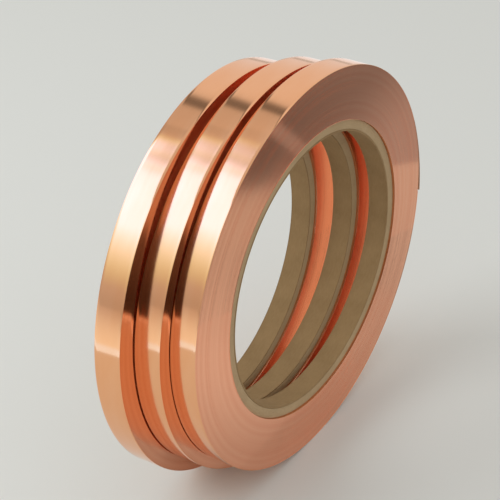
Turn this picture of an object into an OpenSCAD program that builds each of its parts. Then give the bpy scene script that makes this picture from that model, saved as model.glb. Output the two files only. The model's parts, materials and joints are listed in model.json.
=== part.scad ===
// Three loose rolls of copper foil tape, standing on edge side by side.
// The tape is thin copper with adhesive on one side and a paper release liner over it,
// wound on a narrow board core. Each roll's axis runs along Y, its open face looks to -Y,
// +Z is up, and the origin is the centre of the front roll's bore.

/* [Tape] */
// Width of the tape, along the roll's axis
tape_w = 7.3; // [4:0.1:7.3]
// Thickness of one turn: foil, adhesive and liner together
tape_t = 0.13; // [0.11:0.01:0.2]
// Thickness of the release liner alone
liner_t = 0.06; // [0.04:0.01:0.06]
// Outside diameter of a full roll
roll_d = 111.6; // [96:0.1:111.6]

/* [Core] */
// Diameter of the core's bore
core_bore_d = 76.2; // [70:0.1:80]
// Thickness of the core's wall, its lining ply included
core_wall = 3.2; // [1.5:0.1:4]
// Width of the core, a little less than the tape's, so its faces are recessed
core_w = 6; // [3:0.1:6.3]
// Thickness of the smooth ply that lines the bore
lining_t = 0.5; // [0.3:0.1:0.8]

/* [Tape end] */
// Length of the loose end that has come away from the roll
end_len = 26; // [10:1:40]
// Radius that the loose end has relaxed to
end_relaxed_r = 65; // [57:1:80]

/* [Fanning] */
// How far the middle roll stands behind the front one
middle_y = 8.5; // [8.5:0.1:20]
// How far the middle roll stands to the left of the front one
middle_x = 4.2; // [0:0.1:15]
// Turn of the middle roll about the vertical
middle_yaw = 1.2; // [0:0.1:1.2]
// How far the rear roll stands behind the middle one
rear_step = 9; // [9:0.1:20]
// How far the rear roll stands to the left of the front one
rear_x = 10.3; // [0:0.1:15]
// Turn of the rear roll about the vertical, from the middle one
rear_turn = 1.8; // [0:0.1:1.8]

/* [Hidden] */
$fn = 180;

// Each roll: centre x, centre y, turn about the vertical, and the angle of its tape's tip
// round the roll, from +X towards +Z. The tape runs clockwise to its tip, as seen from -Y.
FRONT = [0, 0, 0, -3.5];
MIDDLE = [-middle_x, middle_y, middle_yaw, 14];
REAR = [-rear_x, middle_y + rear_step, middle_yaw + rear_turn, 22];

roll_r = roll_d / 2;
bore_r = core_bore_d / 2;
lining_r = bore_r + lining_t;
core_r = bore_r + core_wall;
// Air left between pieces that touch, and between pieces that move apart
touch_gap = 0.01;
lift_gap = 0.03;
end_root_gap = 0.2;

// Stands a flat shape on edge as a slab of width w, in the place of one roll
module on_edge(roll, w) {
    translate([roll[0], roll[1], 0]) rotate([0, 0, roll[2]]) rotate([90, 0, 0])
        linear_extrude(w, center = true) children();
}

module ring(r_in, r_out) {
    difference() {
        circle(r_out);
        circle(r_in);
    }
}

// Half of a disc, above the x axis for side = 1 and below it for side = -1
module half_disc(r, side) {
    intersection() {
        circle(r);
        translate([0, side * r]) square([4 * r, 2 * r], center = true);
    }
}

// Disc whose edge is one turn of a spiral: r at the tape's tip, on the x axis, and one
// tape thickness less after a full turn. Each half turn is an arc about its own centre.
module turn_disc(r) {
    translate([tape_t / 4, 0]) half_disc(r - tape_t / 4, 1);
    translate([-tape_t / 4, 0]) half_disc(r - 3 * tape_t / 4, -1);
}

// Sector of a ring, from angle 0 up to a positive angle under 90
module ring_sector(r_in, r_out, angle) {
    far = 2 * r_out;
    intersection() {
        ring(r_in, r_out);
        polygon([[0, 0], [far, 0], [far, far * tan(angle)]]);
    }
}

// Angle that the loose end takes up round the roll
function root_angle() = end_len / roll_r * 180 / PI;

// Strip of the loose end, between two heights above the turn it lies on. It leaves the
// roll as a tangent at its root and curls less than the roll, so its tip stands off.
module loose_strip(low, high) {
    r_root = roll_r - tape_t + lift_gap;
    angle = end_len / end_relaxed_r * 180 / PI;
    rotate(root_angle()) translate([r_root - end_relaxed_r, 0]) rotate(-angle)
        ring_sector(end_relaxed_r + low, end_relaxed_r + high, angle);
}

// Structural plies of the board core
module core_tube(roll) {
    color("#9c8b6a") on_edge(roll, core_w) ring(lining_r + touch_gap, core_r);
}

// Smooth ply that lines the bore
module core_lining(roll) {
    color("#b3a283") on_edge(roll, core_w) ring(bore_r, lining_r);
}

// Innermost turn of tape, which is stuck to the core
module first_turn(roll) {
    color("#a8603c") on_edge(roll, tape_w) ring(core_r + touch_gap, core_r + tape_t);
}

// All the turns between the first and the last
module winding(roll) {
    color("#dd9478") on_edge(roll, tape_w) rotate(roll[3]) difference() {
        turn_disc(roll_r - tape_t);
        circle(core_r + tape_t + touch_gap);
    }
}

// Outermost turn, up to the line where the loose end comes away
module last_turn(roll) {
    clear_angle = root_angle() + end_root_gap / roll_r * 180 / PI;
    color("#e8a184") on_edge(roll, tape_w) rotate(roll[3]) difference() {
        turn_disc(roll_r);
        turn_disc(roll_r - tape_t + touch_gap);
        ring_sector(core_r, 2 * roll_r, clear_angle);
    }
}

// Release liner of the loose end, next to the roll
module liner_end(roll) {
    color("#efe6d3") on_edge(roll, tape_w) rotate(roll[3]) loose_strip(0, liner_t);
}

// Copper foil of the loose end, on top of its liner
module foil_end(roll) {
    color("#f0ab8c") on_edge(roll, tape_w) rotate(roll[3])
        loose_strip(liner_t + touch_gap, tape_t);
}

core_tube(FRONT);  // front_core_tube
core_lining(FRONT);  // front_core_lining
first_turn(FRONT);  // front_first_turn
winding(FRONT);  // front_winding
last_turn(FRONT);  // front_last_turn
liner_end(FRONT);  // front_liner_end
foil_end(FRONT);  // front_foil_end

core_tube(MIDDLE);  // middle_core_tube
core_lining(MIDDLE);  // middle_core_lining
first_turn(MIDDLE);  // middle_first_turn
winding(MIDDLE);  // middle_winding
last_turn(MIDDLE);  // middle_last_turn
liner_end(MIDDLE);  // middle_liner_end
foil_end(MIDDLE);  // middle_foil_end

core_tube(REAR);  // rear_core_tube
core_lining(REAR);  // rear_core_lining
first_turn(REAR);  // rear_first_turn
winding(REAR);  // rear_winding
last_turn(REAR);  // rear_last_turn
liner_end(REAR);  // rear_liner_end
foil_end(REAR);  // rear_foil_end
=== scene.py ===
"""Looks for three loose rolls of copper foil tape that stand on edge, side by side.

Each roll is built in its own axes: Y along the roll's axis with the open face towards -Y,
Z up, and the origin at the centre of the bore. Angles run from +X towards +Z. Its place and
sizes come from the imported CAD. Lengths are in metres.
"""
import json
import math

import bpy
import numpy as np
from mathutils import Matrix, Vector


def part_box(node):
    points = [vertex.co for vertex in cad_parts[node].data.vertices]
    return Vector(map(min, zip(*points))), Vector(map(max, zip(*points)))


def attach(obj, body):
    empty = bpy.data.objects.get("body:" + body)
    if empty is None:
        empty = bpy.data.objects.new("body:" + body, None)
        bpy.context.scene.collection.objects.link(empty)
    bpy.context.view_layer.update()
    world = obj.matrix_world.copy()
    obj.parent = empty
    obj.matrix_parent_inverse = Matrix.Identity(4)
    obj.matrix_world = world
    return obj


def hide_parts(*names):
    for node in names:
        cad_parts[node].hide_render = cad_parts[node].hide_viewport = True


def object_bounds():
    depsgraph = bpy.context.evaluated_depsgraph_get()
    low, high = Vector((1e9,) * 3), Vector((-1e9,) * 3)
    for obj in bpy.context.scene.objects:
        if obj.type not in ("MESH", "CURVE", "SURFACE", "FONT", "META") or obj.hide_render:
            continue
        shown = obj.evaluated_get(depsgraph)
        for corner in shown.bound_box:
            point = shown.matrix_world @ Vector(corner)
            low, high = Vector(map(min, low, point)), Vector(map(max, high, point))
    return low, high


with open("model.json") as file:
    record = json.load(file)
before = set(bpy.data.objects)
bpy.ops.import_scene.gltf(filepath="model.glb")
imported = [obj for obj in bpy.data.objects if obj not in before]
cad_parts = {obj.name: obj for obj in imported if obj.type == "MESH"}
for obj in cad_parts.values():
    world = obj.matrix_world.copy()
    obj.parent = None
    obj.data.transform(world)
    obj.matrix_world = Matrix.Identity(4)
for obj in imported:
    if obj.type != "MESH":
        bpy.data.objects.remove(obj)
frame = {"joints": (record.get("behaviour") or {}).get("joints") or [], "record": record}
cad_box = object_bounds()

MM = 0.001
SHARP_ANGLE = math.radians(25)
ROLLS = ("front", "middle", "rear")
FIRST_SEED = 40

MOUNTS = {mount["name"]: mount for mount in frame["record"]["mounts"]}
JOINTS = {joint["name"]: joint for joint in frame["joints"]}


# ---------------------------------------------------------------- sizes from the CAD

def half_span(node, axis):
    """Half of a CAD node's extent along an axis (0, 1 or 2)."""
    low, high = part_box(node)
    return (high[axis] - low[axis]) / 2


BORE_R = MOUNTS["front_bore"]["dims"]["r_mm"] * MM
LINING_R = half_span("front_core_lining", 2)
CORE_R = half_span("front_core_tube", 2)
CORE_HALF_W = half_span("front_core_tube", 1)
TAPE_T = half_span("front_first_turn", 2) - CORE_R
TAPE_HALF_W = half_span("front_winding", 1)

# The loose end, as the CAD has it
LINER_T = 0.06 * MM
TOUCH_GAP = 0.01 * MM
LIFT_GAP = 0.03 * MM
ROOT_GAP = 0.2 * MM
LOOSE_LENGTH = 26 * MM
RELAXED_R = 65 * MM


class Roll:
    """A roll's name, place, outside radius, and the angles of its tape's tip and root."""

    def __init__(self, name):
        self.name = name
        bore = MOUNTS[name + "_bore"]
        face = Vector(bore["axis"])
        if face.y > 0:
            face.negate()
        yaw = math.atan2(face.x, -face.y)
        self.place = Matrix.Translation(bore["pos_m"]) @ Matrix.Rotation(yaw, 4, "Z")
        hinge = self.place.inverted() @ Vector(JOINTS[name + "_end_lift"]["pos_m"])
        self.radius = math.hypot(hinge.x, hinge.z) + TAPE_T / 2
        self.root = math.atan2(hinge.z, hinge.x)
        self.tip = self.root - LOOSE_LENGTH / self.radius

    def turn_radius(self, angle, depth=0.0):
        """Radius of the wound tape's surface at an angle, as two half-turn arcs."""
        turned = (angle - self.tip) % math.tau
        quarter = TAPE_T / 4
        outer = self.radius - depth
        if turned <= math.pi:
            arc_r = outer - quarter
            shift = quarter
        else:
            arc_r = outer - 3 * quarter
            shift = -quarter
        across = shift * math.sin(turned)
        return shift * math.cos(turned) + math.sqrt(arc_r**2 - across**2)


# ---------------------------------------------------------------- mesh helpers

class Wobble:
    """A smooth random function of the angle round a roll, within -1 and 1."""

    def __init__(self, rng, waves):
        self.waves = np.array(waves, float)
        self.phases = rng.uniform(0, math.tau, len(waves))
        self.weights = rng.uniform(0.5, 1.0, len(waves))
        self.weights /= self.weights.sum()

    def __call__(self, angle):
        return float(self.weights @ np.sin(self.waves * angle + self.phases))


def turn_angles(count, start=0.0, end=math.tau, fine_at=None, fine_span=0.0, fine_count=0):
    """Angles from start to end, with extra ones close together round fine_at."""
    whole_turn = end - start >= math.tau - 1e-6
    angles = np.linspace(start, end, count, endpoint=not whole_turn)
    if fine_at is None:
        return angles
    fine = np.linspace(fine_at - fine_span, fine_at + fine_span, fine_count)
    spare = np.abs(angles - fine_at) > fine_span * 1.02
    return np.sort(np.concatenate([angles[spare], fine]))


def add_object(name, verts, faces, uvs, roll, material, body, slot, replaced):
    """Makes a mesh object in a roll's place, riding on a body and standing for CAD nodes."""
    mesh = bpy.data.meshes.new(name)
    mesh.from_pydata(verts.tolist(), [], faces)
    layer = mesh.uv_layers.new(name="flow")
    layer.data.foreach_set("uv", np.asarray(uvs, np.float32).ravel())
    mesh.materials.append(material)
    mesh.shade_smooth()
    mesh.set_sharp_from_angle(angle=SHARP_ANGLE)
    mesh.validate()
    obj = bpy.data.objects.new(name, mesh)
    bpy.context.scene.collection.objects.link(obj)
    obj.matrix_world = roll.place
    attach(obj, body)
    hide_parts(*replaced)


def sweep(angles, outlines, closed):
    """Vertices, faces and UVs of an outline carried round the roll's axis.

    outlines[i] is an (m, 2) array of (radius, y) at angles[i], anticlockwise. In the UV map,
    in millimetres, U runs along the outline and V round the roll.
    """
    outlines = np.asarray(outlines, float)
    rings, points = outlines.shape[:2]
    cos = np.cos(angles)[:, None]
    sin = np.sin(angles)[:, None]
    radius = outlines[:, :, 0]
    verts = np.stack([radius * cos, outlines[:, :, 1], radius * sin], -1).reshape(-1, 3)

    steps = np.linalg.norm(np.roll(outlines[0], -1, 0) - outlines[0], axis=1)
    along = np.concatenate([[0.0], np.cumsum(steps)]) / MM
    round_v = np.append(angles, angles[0] + math.tau) * radius.max() / MM

    i = np.arange(rings if closed else rings - 1)[:, None]
    j = np.arange(points)[None, :]
    i_next = (i + 1) % rings
    j_next = (j + 1) % points
    quads = np.stack([
        i * points + j,
        i * points + j_next,
        i_next * points + j_next,
        i_next * points + j,
    ], -1).reshape(-1, 4)
    grid_i = np.broadcast_to(i, (i.size, points))
    grid_j = np.broadcast_to(j, (i.size, points))
    u_here = along[grid_j]
    u_next = along[grid_j + 1]
    v_here = round_v[grid_i]
    v_next = round_v[grid_i + 1]
    uvs = np.stack([
        np.stack([u_here, v_here], -1),
        np.stack([u_next, v_here], -1),
        np.stack([u_next, v_next], -1),
        np.stack([u_here, v_next], -1),
    ], 2).reshape(-1, 2)
    faces = quads.tolist()
    if not closed:
        last = (rings - 1) * points
        faces.append(list(range(points))[::-1])
        faces.append(list(range(last, last + points)))
        cap = outlines[0] / MM
        uvs = np.concatenate([uvs, cap[::-1], outlines[-1] / MM])
    return verts, faces, uvs


def rounded_box(r_in, r_out, half_w, edge, steps):
    """Outline of a flat strip or tube wall with rounded corners, anticlockwise. It starts at
    the outer front corner, and each of the four corners has steps + 1 points."""
    corners = ((r_out, -1, 1, -90), (r_out, 1, 1, 0), (r_in, 1, -1, 90), (r_in, -1, -1, 180))
    points = []
    for r, y_side, r_side, start in corners:
        centre_r = r - r_side * edge
        centre_y = y_side * (half_w - edge)
        for k in range(steps + 1):
            turn = math.radians(start + 90 * k / steps)
            points.append((centre_r + edge * math.cos(turn), centre_y + edge * math.sin(turn)))
    return np.array(points)


# ---------------------------------------------------------------- materials

def new_material(name):
    """A material, its node tree and its shader."""
    material = bpy.data.materials.new(name)
    material.use_nodes = True
    tree = material.node_tree
    return material, tree, tree.nodes["Principled BSDF"]


def add(tree, kind, **values):
    """A node with its inputs or properties set by name."""
    made = tree.nodes.new(kind)
    for key, value in values.items():
        if key in made.inputs:
            made.inputs[key].default_value = value
        else:
            setattr(made, key, value)
    return made


def scaled_noise(tree, vector, scale, detail=2.0, roughness=0.5):
    """Noise over coordinates that are first stretched by scale; gives its value. The UV map
    is in millimetres and object coordinates are in metres."""
    stretch = add(tree, "ShaderNodeVectorMath", operation="MULTIPLY")
    stretch.inputs[1].default_value = scale
    tree.links.new(vector, stretch.inputs[0])
    noise = add(tree, "ShaderNodeTexNoise", Scale=1.0, Detail=detail, Roughness=roughness)
    tree.links.new(stretch.outputs[0], noise.inputs["Vector"])
    return noise.outputs["Fac"]


def spread(tree, value, low, high, from_low=0.3, from_high=0.7):
    """Maps a value onto a range. Noise mostly lies from 0.3 to 0.7."""
    ranged = add(tree, "ShaderNodeMapRange")
    ranged.inputs["From Min"].default_value = from_low
    ranged.inputs["From Max"].default_value = from_high
    ranged.inputs["To Min"].default_value = low
    ranged.inputs["To Max"].default_value = high
    tree.links.new(value, ranged.inputs["Value"])
    return ranged.outputs["Result"]


def mix_colour(tree, factor, first, second):
    """Mixes two colours; the first may be another node's output."""
    mix = add(tree, "ShaderNodeMixRGB")
    if isinstance(first, tuple):
        mix.inputs["Color1"].default_value = (*first, 1)
    else:
        tree.links.new(first, mix.inputs["Color1"])
    mix.inputs["Color2"].default_value = (*second, 1)
    tree.links.new(factor, mix.inputs["Fac"])
    return mix.outputs["Color"]


def bump(tree, shader, height, distance):
    """Bends a shader's normal by a height from 0 to 1, which stands for a distance."""
    made = add(tree, "ShaderNodeBump", Strength=1.0, Distance=distance)
    tree.links.new(height, made.inputs["Height"])
    tree.links.new(made.outputs["Normal"], shader.inputs["Normal"])


def follow_flow(tree, shader):
    """Turns a shader's long highlights with the UV map, whose V runs round the roll."""
    tangent = add(tree, "ShaderNodeTangent", direction_type="UV_MAP", uv_map="flow")
    tree.links.new(tangent.outputs["Tangent"], shader.inputs["Tangent"])


def sum_of(tree, first, second):
    """Adds two values."""
    total = add(tree, "ShaderNodeMath", operation="ADD")
    tree.links.new(first, total.inputs[0])
    tree.links.new(second, total.inputs[1])
    return total.outputs[0]


COPPER = (0.97, 0.50, 0.27)
COPPER_DEEP = (0.95, 0.46, 0.23)
EDGE_COPPER = (0.95, 0.47, 0.29)
EDGE_COPPER_DEEP = (0.89, 0.39, 0.23)
# Paler copper for the backs of the wound edges: painted light for the bounces in the gaps between
# the rolls
PAINTED_GAP_LIGHT_COPPER = (0.95, 0.57, 0.35)
BOARD = (0.52, 0.37, 0.215)
BOARD_DEEP = (0.42, 0.29, 0.16)
LINING_BOARD = (0.36, 0.23, 0.11)
LINING_BOARD_DEEP = (0.28, 0.175, 0.08)
PAPER_BROWN = (0.52, 0.29, 0.17)
PAPER_BROWN_DEEP = (0.45, 0.245, 0.14)


def copper_foil():
    """Bright rolled copper: fine lines along the tape widen its highlights across the tape."""
    material, tree, shader = new_material("copper_foil")
    flow = add(tree, "ShaderNodeUVMap", uv_map="flow").outputs["UV"]
    shader.inputs["Metallic"].default_value = 1.0
    shader.inputs["Anisotropic"].default_value = 0.75
    clouds = scaled_noise(tree, flow, (0.22, 0.05, 1), detail=3.0)
    lines = scaled_noise(tree, flow, (5.0, 0.06, 1), detail=3.0, roughness=0.6)
    tint = mix_colour(tree, spread(tree, clouds, 0, 1), COPPER, COPPER_DEEP)
    tree.links.new(tint, shader.inputs["Base Color"])
    rough = sum_of(tree, spread(tree, clouds, 0.085, 0.115), spread(tree, lines, -0.012, 0.02))
    tree.links.new(rough, shader.inputs["Roughness"])
    follow_flow(tree, shader)
    bump(tree, shader, lines, distance=0.0006 * MM)
    return material


def copper_edges():
    """Wound edges of the tape: fine rings widen its highlights towards and from the bore.
    The back is rougher, as slitting leaves a burr on one side of the tape. Its copper is also
    paler, as painted light for the bounces in the narrow gaps between the rolls."""
    blend_half_w = 1 * MM
    burr_roughness = 0.28
    material, tree, shader = new_material("copper_edges")
    place = add(tree, "ShaderNodeTexCoord").outputs["Object"]
    flat = add(tree, "ShaderNodeVectorMath", operation="MULTIPLY")
    flat.inputs[1].default_value = (1, 0, 1)
    tree.links.new(place, flat.inputs[0])
    radius = add(tree, "ShaderNodeVectorMath", operation="LENGTH")
    tree.links.new(flat.outputs[0], radius.inputs[0])
    radial = add(tree, "ShaderNodeCombineXYZ")
    tree.links.new(radius.outputs["Value"], radial.inputs[0])
    rings = scaled_noise(tree, radial.outputs[0], (2600, 1, 1), roughness=0.7)
    bands = scaled_noise(tree, radial.outputs[0], (520, 1, 1), roughness=0.6)
    clouds = scaled_noise(tree, place, (45, 45, 45), detail=3.0)
    shader.inputs["Metallic"].default_value = 1.0
    shader.inputs["Anisotropic"].default_value = 0.8
    split = add(tree, "ShaderNodeSeparateXYZ")
    tree.links.new(place, split.inputs[0])
    back = spread(tree, split.outputs["Y"], 0, 1, -blend_half_w, blend_half_w)
    burr = spread(tree, back, 0.0, burr_roughness, 0, 1)
    tint = mix_colour(tree, spread(tree, bands, 0, 1), EDGE_COPPER, EDGE_COPPER_DEEP)
    # Painted light: the back faces, across the narrow gaps between the rolls, get paler copper
    tint = mix_colour(tree, back, tint, PAINTED_GAP_LIGHT_COPPER)
    tree.links.new(tint, shader.inputs["Base Color"])
    rough = sum_of(tree, spread(tree, rings, 0.08, 0.13), spread(tree, clouds, -0.015, 0.015))
    tree.links.new(sum_of(tree, rough, burr), shader.inputs["Roughness"])
    follow_flow(tree, shader)
    bump(tree, shader, rings, distance=0.0016 * MM)
    return material


def board(name, light, dark, fibre_size):
    """Matt brown board with short fibres and faint blotches."""
    material, tree, shader = new_material(name)
    place = add(tree, "ShaderNodeTexCoord").outputs["Object"]
    flow = add(tree, "ShaderNodeUVMap", uv_map="flow").outputs["UV"]
    fibre_scale = (3.2 / fibre_size, 0.9 / fibre_size, 1)
    fibres = scaled_noise(tree, flow, fibre_scale, detail=4.0, roughness=0.65)
    blotches = scaled_noise(tree, place, (160, 160, 160), detail=3.0)
    shade = sum_of(tree, spread(tree, fibres, 0, 0.45), spread(tree, blotches, 0, 0.55))
    tint = mix_colour(tree, shade, light, dark)
    tree.links.new(tint, shader.inputs["Base Color"])
    tree.links.new(spread(tree, fibres, 0.78, 0.92), shader.inputs["Roughness"])
    shader.inputs["Specular IOR Level"].default_value = 0.25
    bump(tree, shader, fibres, distance=0.03 * MM)
    return material


def release_paper():
    """Smooth coated brown paper with a faint silky gloss."""
    material, tree, shader = new_material("release_paper")
    flow = add(tree, "ShaderNodeUVMap", uv_map="flow").outputs["UV"]
    formation = scaled_noise(tree, flow, (0.9, 0.9, 1), detail=4.0, roughness=0.6)
    tint = mix_colour(tree, spread(tree, formation, 0, 1), PAPER_BROWN, PAPER_BROWN_DEEP)
    tree.links.new(tint, shader.inputs["Base Color"])
    tree.links.new(spread(tree, formation, 0.38, 0.5), shader.inputs["Roughness"])
    shader.inputs["Specular IOR Level"].default_value = 0.5
    bump(tree, shader, formation, distance=0.004 * MM)
    return material


FOIL = copper_foil()
EDGES = copper_edges()
CORE = board("core_board", BOARD, BOARD_DEEP, fibre_size=1.0)
LINING = board("core_lining", LINING_BOARD, LINING_BOARD_DEEP, fibre_size=1.6)
PAPER = release_paper()


# ---------------------------------------------------------------- the pieces of one roll

# Where the front roll's seams are, in degrees; the other rolls' are drawn at random
FRONT_PLY_JOINT = 54
FRONT_BORE_SEAM = -101


def core_plies(roll, rng):
    """Structural plies of the core: a tube whose cut faces show shallow ply lines, and the
    slanting butt joint of the outer plies."""
    edge = 0.18 * MM
    steps = 3
    ply_count = 4
    groove_w = 0.05 * MM
    groove_depth = 0.035 * MM
    groove_wander = 0.05 * MM
    joint_half_w = 0.16 * MM
    joint_depth = 0.10 * MM
    joint_slant = math.radians(2.0)
    joint_span = math.radians(2.4)
    face_dip = 0.02 * MM
    r_in = LINING_R + TOUCH_GAP
    r_out = CORE_R
    ply_lines = [r_in + (r_out - r_in) * k / ply_count for k in range(1, ply_count)]
    wave = Wobble(rng, [2, 3, 5, 9])
    ragged = [Wobble(rng, [7, 13, 29, 53]) for _ in ply_lines]
    joint = math.radians(FRONT_PLY_JOINT if roll.name == "front" else rng.uniform(-60, 60))
    angles = turn_angles(360, -math.pi, math.pi, fine_at=joint, fine_span=joint_span, fine_count=49)
    base = rounded_box(r_in, r_out, CORE_HALF_W, edge, steps)
    side = len(base) // 2

    def sunk_at_joint(angle, radius):
        """How far the joint sinks the core's faces."""
        line = joint + joint_slant * (r_in + r_out - 2 * radius) / (r_out - r_in)
        across = (angle - line) * radius / joint_half_w
        return joint_depth * math.exp(-across * across)

    outlines = []
    for angle in angles:
        back = []
        front = []
        for r_line, rough in zip(ply_lines, ragged):
            depth = groove_depth * (0.75 + 0.5 * rough(angle))
            width = groove_w * (1 + 0.5 * rough(angle + 1))
            for step, sunk in ((-width, 0), (0, depth), (width, 0)):
                r_point = r_line + step + groove_wander * rough(angle + 2)
                front.append((r_point, -CORE_HALF_W + sunk))
                back.append((r_point, CORE_HALF_W - sunk))
        points = np.concatenate([base[:side], back[::-1], base[side:], front])
        on_face = np.abs(points[:, 1]) > CORE_HALF_W - edge
        dip = face_dip * (1 + wave(angle))
        for k in np.flatnonzero(on_face):
            lower = dip + sunk_at_joint(angle, points[k, 0])
            points[k, 1] -= math.copysign(lower, points[k, 1])
        outlines.append(points)
    mesh = sweep(angles, outlines, closed=True)
    add_object(
        roll.name + "_core_plies", *mesh, roll, CORE,
        roll.name + "_roll", "core_board", [roll.name + "_core_tube"],
    )


def bore_ply(roll, rng):
    """Smooth ply that lines the bore, with the slanting butt seam of a wound tube."""
    seam_start = math.radians(FRONT_BORE_SEAM if roll.name == "front" else rng.uniform(0, 360))
    seam_span = math.radians(-59)
    seam_half_w = 0.22 * MM
    seam_height = 0.06 * MM
    lip_fade = 3 * MM
    hollow_depth = 0.02 * MM
    # Radians that the hollows shift by for each metre across the bore
    hollow_shift = 40
    width = 2 * CORE_HALF_W
    seam_slope = width / math.hypot(width, seam_span * BORE_R)
    edge = 0.12 * MM
    steps = 3
    across_count = 40
    wave = Wobble(rng, [2, 3, 4, 7])
    angles = turn_angles(720)
    base = rounded_box(BORE_R, LINING_R, CORE_HALF_W, edge, steps)
    inner_y = np.linspace(CORE_HALF_W - edge, edge - CORE_HALF_W, across_count + 2)[1:-1]
    three_corners = 3 * (steps + 1)
    outlines = []
    for angle in angles:
        inner = []
        for y in inner_y:
            seam = seam_start + seam_span * (y + CORE_HALF_W) / width
            off = (angle - seam + math.pi) % math.tau - math.pi
            across = off * BORE_R * seam_slope
            ridge = math.exp(-((across / seam_half_w) ** 2))
            lip = 0.5 * (1 + math.tanh(across / seam_half_w)) * math.exp(-abs(across) / lip_fade)
            hollow = hollow_depth * (1 + wave(angle + hollow_shift * y))
            inner.append((BORE_R + seam_height + hollow - seam_height * max(ridge, lip), y))
        outlines.append(np.concatenate([base[:three_corners], inner, base[three_corners:]]))
    mesh = sweep(angles, outlines, closed=True)
    add_object(
        roll.name + "_bore_ply", *mesh, roll, LINING,
        roll.name + "_roll", "core_lining", [roll.name + "_core_lining"],
    )


def first_wrap(roll, rng):
    """Innermost turn of tape, which stands proud of the core's faces."""
    wave_depth = 0.03 * MM
    edge = 0.03 * MM
    r_in = CORE_R + TOUCH_GAP
    r_out = CORE_R + TAPE_T
    wave = Wobble(rng, [2, 3, 5, 8])
    angles = turn_angles(360)
    outlines = []
    for angle in angles:
        half_w = TAPE_HALF_W - wave_depth * (1 + wave(angle))
        outlines.append(rounded_box(r_in, r_out, half_w, edge, steps=2))
    mesh = sweep(angles, outlines, closed=True)
    add_object(
        roll.name + "_first_wrap", *mesh, roll, EDGES,
        roll.name + "_roll", "copper_edges", [roll.name + "_first_turn"],
    )


def wound_turns(roll, rng):
    """The turns between the first and the last, each with its own small shift sideways."""
    r_in = CORE_R + TAPE_T + TOUCH_GAP
    turns = round((roll.radius - TAPE_T - r_in) / TAPE_T)
    drift_step = 0.004 * MM
    jitter = 0.004 * MM
    most_sunk = 0.14 * MM
    wander_size = 0.01 * MM
    wander_inset = 0.012 * MM
    drift = np.cumsum(rng.normal(0, drift_step, (2, turns)), axis=1)
    shifts = drift + rng.uniform(-jitter, jitter, (2, turns))
    shifts -= shifts.max(axis=1, keepdims=True)
    shifts = np.maximum(shifts, -most_sunk)
    waves = [Wobble(rng, [1, 2, 3, 5]) for _ in range(4)]
    angles = turn_angles(144)
    shares = np.linspace(0, 1, turns + 1)
    blend = np.arange(turns) / turns * (len(waves) - 1)
    outlines = []
    for angle in angles:
        edges = r_in + (roll.turn_radius(angle, TAPE_T) - r_in) * shares
        values = [wave(angle) for wave in waves]
        wander = np.interp(blend, range(len(waves)), values) * wander_size - wander_inset
        back = np.repeat(TAPE_HALF_W + shifts[0] + wander, 2)
        front = np.repeat(-TAPE_HALF_W - shifts[1] - wander, 2)
        sides = np.repeat(edges, 2)[1:-1]
        outlines.append(np.concatenate([
            np.stack([sides, front], -1),
            np.stack([sides, back], -1)[::-1],
        ]))
    mesh = sweep(angles, outlines, closed=True)
    add_object(
        roll.name + "_wound_turns", *mesh, roll, EDGES,
        roll.name + "_roll", "copper_edges", [roll.name + "_winding"],
    )


def outer_wrap(roll, rng):
    """Outermost turn of tape, up to where its loose end comes away."""
    across_count = 9
    steps = 2
    corner = steps + 1
    ripple_depth = 0.006 * MM
    gap_at_tip = 1e-4
    start = roll.root + ROOT_GAP / roll.radius
    angles = turn_angles(900, start, roll.tip + math.tau - gap_at_tip)
    waves = [Wobble(rng, [9, 14, 23, 31]) for _ in range(3)]
    thickness = TAPE_T - TOUCH_GAP
    edge = 0.035 * MM
    outlines = []
    for angle in angles:
        r_out = roll.turn_radius(angle)
        outline = rounded_box(r_out - thickness, r_out, TAPE_HALF_W, edge, steps)
        values = [wave(angle) for wave in waves]
        outer = []
        for y in np.linspace(edge - TAPE_HALF_W, TAPE_HALF_W - edge, across_count + 2)[1:-1]:
            share = y / TAPE_HALF_W
            ripple = np.interp(share, (-1, 0, 1), values)
            outer.append((r_out - ripple_depth * (1 + ripple), y))
        outlines.append(np.concatenate([outline[:corner], outer, outline[corner:]]))
    mesh = sweep(angles, outlines, closed=False)
    add_object(
        roll.name + "_outer_wrap", *mesh, roll, FOIL,
        roll.name + "_roll", "copper_foil", [roll.name + "_last_turn"],
    )


def loose_strip(roll, name, low, high, material, body, slot, replaced):
    """A layer of the loose end, between two heights above the turn it lies on."""
    count = 80
    root_r = roll.radius - TAPE_T + LIFT_GAP
    bend = LOOSE_LENGTH / RELAXED_R
    edge = (high - low) * 0.3
    base = rounded_box(RELAXED_R + low, RELAXED_R + high, TAPE_HALF_W, edge, steps=2)
    arc = np.linspace(-bend, 0, count)
    verts, faces, uvs = sweep(arc, [base] * count, closed=False)
    verts[:, 0] += root_r - RELAXED_R
    cos = math.cos(roll.root)
    sin = math.sin(roll.root)
    x = verts[:, 0] * cos - verts[:, 2] * sin
    z = verts[:, 0] * sin + verts[:, 2] * cos
    verts[:, 0] = x
    verts[:, 2] = z
    add_object(name, verts, faces, uvs, roll, material, body, slot, [replaced])


def build_roll(name, seed):
    """All the pieces of one roll."""
    roll = Roll(name)
    rng = np.random.default_rng(seed)
    core_plies(roll, rng)
    bore_ply(roll, rng)
    first_wrap(roll, rng)
    wound_turns(roll, rng)
    outer_wrap(roll, rng)
    loose_strip(roll, name + "_loose_liner", 0, LINER_T, PAPER,
                name + "_liner", "release_paper", name + "_liner_end")
    loose_strip(roll, name + "_loose_foil", LINER_T + TOUCH_GAP, TAPE_T, FOIL,
                name + "_foil", "copper_foil", name + "_foil_end")


for number, roll_name in enumerate(ROLLS):
    build_roll(roll_name, FIRST_SEED + number)


# ---------------------------------------------------------------- studio

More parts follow.
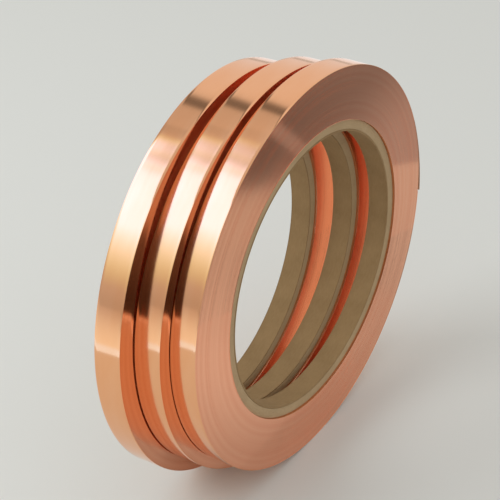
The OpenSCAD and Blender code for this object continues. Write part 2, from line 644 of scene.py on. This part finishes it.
# The floor touches the lowest point of the CAD. Places on it are in millimetres, all other
# lengths are in metres and angles are in degrees.
FLOOR_Z = cad_box[0].z
FLOOR_REACH = 6000
FLOOR_COLOUR = (0.795, 0.795, 0.77, 1)
BACKDROP_COLOUR = (0.66, 0.67, 0.62, 1)
FILL_COLOUR = (1, 1, 0.97, 1)
FILL_STRENGTH = 0.685
DOME_RADIUS = 2.0
DOME_STEP = 1.5
DOME_LOW = -3

# The dark side behind the camera: its middle, and how far from there it is fully dark and
# where it ends
CAMERA_SIDE = -128
CAMERA_SIDE_FULL = 30
CAMERA_SIDE_END = 50

# The camera's place, the way it looks, its roll and its lens in millimetres
CAMERA_AZIMUTH = 238.0
CAMERA_ELEVATION = 33.88
CAMERA_DISTANCE = 0.3645
VIEW_AZIMUTH = 55.15
VIEW_ELEVATION = -33.11
CAMERA_ROLL = -1.656
CAMERA_LENS = 98.62


def direction(azimuth, elevation):
    """Unit vector: azimuth from +Y towards +X, elevation above the horizon, in degrees."""
    a = math.radians(azimuth)
    e = math.radians(elevation)
    return Vector((math.sin(a) * math.cos(e), math.cos(a) * math.cos(e), math.sin(e)))


def stage_mesh(name, verts, faces, material):
    """A stage piece, which isn't part of the object."""
    mesh = bpy.data.meshes.new(name)
    mesh.from_pydata([tuple(vert) for vert in verts], [], faces)
    mesh.materials.append(material)
    obj = bpy.data.objects.new(name, mesh)
    bpy.context.scene.collection.objects.link(obj)
    return obj


def on_floor(x, y, lift=0.0):
    """A point of the scene from its place on the floor and its height above it."""
    return Vector((x * MM, y * MM, FLOOR_Z + lift * MM))


def floor():
    """Plain pale matt floor."""
    corners = [on_floor(x * FLOOR_REACH, y * FLOOR_REACH)
               for x, y in ((-1, -1), (1, -1), (1, 1), (-1, 1))]
    material, _, shader = new_material("floor")
    shader.inputs["Base Color"].default_value = FLOOR_COLOUR
    shader.inputs["Roughness"].default_value = 1.0
    shader.inputs["Specular IOR Level"].default_value = 0.0
    stage_mesh("floor", corners, [(0, 1, 2, 3)], material)


def smooth(value, start, end):
    """0 at start and 1 at end, with a soft S between them."""
    share = min(max((value - start) / (end - start), 0), 1)
    return share * share * (3 - 2 * share)


def reflection_card(name, verts, faces, colours, adds=False):
    """A studio piece that only shows in reflections, with its glow given at each vertex.
    It hides what is behind it, or adds to it."""
    material = bpy.data.materials.new(name)
    material.use_nodes = True
    material.cycles.emission_sampling = "NONE"
    tree = material.node_tree
    tree.nodes.remove(tree.nodes["Principled BSDF"])
    glow = add(tree, "ShaderNodeEmission")
    colour = add(tree, "ShaderNodeAttribute", attribute_name="glow")
    tree.links.new(colour.outputs["Color"], glow.inputs["Color"])
    surface = glow.outputs[0]
    if adds:
        both = add(tree, "ShaderNodeAddShader")
        clear = add(tree, "ShaderNodeBsdfTransparent")
        tree.links.new(glow.outputs[0], both.inputs[0])
        tree.links.new(clear.outputs[0], both.inputs[1])
        surface = both.outputs[0]
    tree.links.new(surface, tree.nodes["Material Output"].inputs["Surface"])
    obj = stage_mesh(name, verts, faces, material)
    layer = obj.data.attributes.new("glow", "FLOAT_COLOR", "POINT")
    rgba = np.ones((len(verts), 4))
    rgba[:, :3] = colours
    layer.data.foreach_set("color", rgba.ravel())
    obj.visible_camera = False
    obj.visible_diffuse = False
    obj.visible_shadow = False
    obj.visible_transmission = False


def camera_side(azimuth):
    """1 on the dark side behind the camera, and 0 away from it."""
    return smooth(abs(azimuth - CAMERA_SIDE), CAMERA_SIDE_END, CAMERA_SIDE_FULL)


def studio_glow(azimuth, elevation):
    """What a direction shows in reflections: pale walls, a dark camera side, a big softbox
    that fades out at its edges, and the narrow dark flags beside it."""
    # Walls, lighter to the right and overhead, and a little darker low on the left
    level = 0.60 + 0.20 * smooth(azimuth, 36, 48) + 0.07 * smooth(elevation, 56, 60)
    level -= 0.08 * smooth(azimuth, 0, -40) * math.exp(-((elevation / 6) ** 2))

    # Dark camera side, which ends overhead
    dark = 0.05 + 0.10 * smooth(elevation, -5, 32)
    level += (dark - level) * camera_side(azimuth) * smooth(elevation, 40, 26)

    # A dark flag to the right of the softbox, and a faint one under its right edge
    flag = smooth(abs(azimuth - 38.8), 5.0, 1.6) * smooth(elevation, 30, 36)
    faint = 0.2 * smooth(abs(azimuth - 12), 6, 2) * smooth(elevation, 59.6, 58.4)
    level *= (1 - 0.70 * flag) * (1 - faint)

    # The softbox: it fades in slowly from below, and its top edge slopes
    low = min(max((elevation - 8) / 27, 0), 1) ** 1.2
    top = 60.4 + 0.1 * azimuth
    sides = smooth(azimuth, 7, -3) * smooth(azimuth, -95, -66)
    key = low * sides * smooth(elevation, top, top - 1.2)
    return level + 0.85 * key, level + 1.38 * key, level + 2.7 * key ** 1.8


def studio_dome():
    """Carries studio_glow round the whole scene, down to just below the horizon."""
    azimuths = np.arange(-180, 180, DOME_STEP)
    elevations = np.arange(DOME_LOW, 90 + DOME_STEP / 2, DOME_STEP)
    verts = []
    colours = []
    for elevation in elevations:
        for azimuth in azimuths:
            verts.append(direction(azimuth, elevation) * DOME_RADIUS)
            colours.append(studio_glow(azimuth, elevation))
    count = len(azimuths)
    faces = []
    for row in range(len(elevations) - 1):
        for k in range(count):
            here = row * count
            turn = (k + 1) % count
            faces.append((here + k, here + turn, here + count + turn, here + count + k))
    reflection_card("studio_dome", verts, faces, colours)


def grid(start, along, away, runs, depths):
    """Rows of points on the floor, from a start point along two directions."""
    return [[start + along * run + away * depth for depth in depths] for run in runs]


def floor_card(name, rows, lift, glow_at, adds=False):
    """A reflection card a little above the floor. glow_at gives its colour at a point."""
    spots = [spot for row in rows for spot in row]
    verts = [on_floor(spot.x, spot.y, lift) for spot in spots]
    colours = [glow_at(spot) for spot in spots]
    count = len(rows[0])
    faces = [(k, k + 1, k + 1 + count, k + count)
             for k in range(len(spots) - count) if (k + 1) % count]
    reflection_card(name, verts, faces, colours, adds)


def bright_floor_card():
    """Bright floor on the left, which fades outwards. Its first strip is bluish, so that
    copper shows it as nearly white."""
    fade_length = 360
    strip_full = 22
    strip_end = 42
    out = direction(-58, 0)
    side = Vector((out.y, -out.x, 0))
    edge = Vector((-55, 0, 0)) + out * 158

    def glow(spot):
        beyond = (spot - edge).dot(out)
        fade = math.exp(-beyond / fade_length)
        level = 0.60 + 0.52 * fade
        strip = smooth(beyond, strip_end, strip_full)
        return level - 0.12 * fade, level + 0.2 * strip, level + 0.6 * strip

    depths = (0, 10, strip_full, 27, 32, 37, strip_end, 75, 120, 200, 350, 600, 1000, 1600, 2400)
    floor_card("bright_floor_card", grid(edge, side, out, (-600, 600), depths), 0.10, glow)


def right_floor_cards():
    """On the right a dark floor with a thin light streak, and a bright floor behind it."""
    darkest = 0.14
    lightest = 0.42
    streak = 0.36
    bright = 0.9

    def glow(spot):
        level = darkest + 0.0075 * max(spot.y + 104, 0) + 0.0013 * max(spot.x - 140, 0)
        return [min(level, lightest)] * 3

    along = Vector((0.762, 0.648, 0))
    away = Vector((0.648, -0.762, 0))
    rows = grid(Vector((103, -97, 0)), along, away, range(-160, 401, 10), range(0, 501, 10))
    floor_card("dark_floor_card", rows, 0.10, glow)

    along = Vector((-0.48, 0.877, 0))
    away = Vector((0.877, 0.48, 0))
    rows = grid(Vector((151, -120, 0)), along, away, (-20, 30), (-4, 0, 4))
    floor_card("streak_floor_card", rows, 0.15, lambda spot: [streak] * 3)

    rows = grid(Vector((30, 12, 0)), Vector((0, 1, 0)), Vector((1, 0, 0)),
                (0, 40, 120, 400), (0, 20, 60, 120, 300, 800))
    floor_card("right_floor_card", rows, 0.10, lambda spot: [bright] * 3)


def camera_floor_card():
    """Dark floor under and beyond the camera."""
    light = 0.64
    dark = 0.06
    start = 470
    full = 560

    def glow(spot):
        azimuth = math.degrees(math.atan2(spot.x, spot.y))
        share = camera_side(azimuth) * smooth(spot.length, start, full)
        return [light + (dark - light) * share] * 3

    rows = [[direction(azimuth, 0) * reach for reach in (start, 500, 530, full, 700, 1000, 2400)]
            for azimuth in range(-178, -77, 4)]
    floor_card("camera_floor_card", rows, 0.20, glow)


def lit_floor_card():
    """Soft glow on the floor in front of the rolls, added to what is there."""
    peak = 0.16
    glow_r = 34
    centre = Vector((10, -46, 0))

    def glow(spot):
        near = (spot - centre).length / glow_r
        return [peak * math.exp(-near * near)] * 3

    rows = grid(centre, Vector((1, 0, 0)), Vector((0, 1, 0)),
                range(-120, 121, 8), range(-120, 33, 8))
    floor_card("lit_floor_card", rows, 0.05, glow, adds=True)


def sky():
    """Soft fill light all round, and a plain backdrop where the camera sees past the floor."""
    world = bpy.data.worlds.new("studio")
    bpy.context.scene.world = world
    world.use_nodes = True
    tree = world.node_tree
    plain = tree.nodes["Background"]
    plain.inputs["Color"].default_value = BACKDROP_COLOUR
    fill = add(tree, "ShaderNodeBackground", Color=FILL_COLOUR, Strength=FILL_STRENGTH)
    path = add(tree, "ShaderNodeLightPath")
    seen = add(tree, "ShaderNodeMixShader")
    tree.links.new(path.outputs["Is Camera Ray"], seen.inputs["Fac"])
    tree.links.new(fill.outputs[0], seen.inputs[1])
    tree.links.new(plain.outputs[0], seen.inputs[2])
    tree.links.new(seen.outputs[0], tree.nodes["World Output"].inputs["Surface"])


def key_light():
    """The softbox's light. Its reflection is in the dome, so the lamp itself has none."""
    distance = 0.7
    lamp = bpy.data.lights.new("key", "AREA")
    lamp.shape = "RECTANGLE"
    lamp.size = 0.40
    lamp.size_y = 0.40
    lamp.energy = 1.35
    lamp.color = (0.94, 1.0, 1.02)
    obj = bpy.data.objects.new("key", lamp)
    bpy.context.scene.collection.objects.link(obj)
    out = direction(-41, 41)
    obj.location = out * distance
    obj.rotation_euler = out.to_track_quat("Z", "Y").to_euler()
    obj.visible_glossy = False


def camera():
    """A camera of full-frame width, from the figures at the top of this section."""
    data = bpy.data.cameras.new("camera")
    data.sensor_width = 36
    data.lens = CAMERA_LENS
    obj = bpy.data.objects.new("camera", data)
    bpy.context.scene.collection.objects.link(obj)
    obj.location = direction(CAMERA_AZIMUTH, CAMERA_ELEVATION) * CAMERA_DISTANCE
    view = direction(VIEW_AZIMUTH, VIEW_ELEVATION)
    side = view.cross(Vector((0, 0, 1))).normalized()
    up = side.cross(view)
    roll = math.radians(CAMERA_ROLL)
    right = side * math.cos(roll) + up * math.sin(roll)
    top = right.cross(view)
    obj.rotation_mode = "QUATERNION"
    obj.rotation_quaternion = Matrix((right, top, -view)).transposed().to_quaternion()
    bpy.context.scene.camera = obj


floor()
bright_floor_card()
right_floor_cards()
camera_floor_card()
lit_floor_card()
sky()
key_light()
studio_dome()
camera()

# Light goes back and forth between the rolls' faces many times
bpy.context.scene.cycles.glossy_bounces = 10
bpy.context.scene.view_settings.view_transform = "Standard"
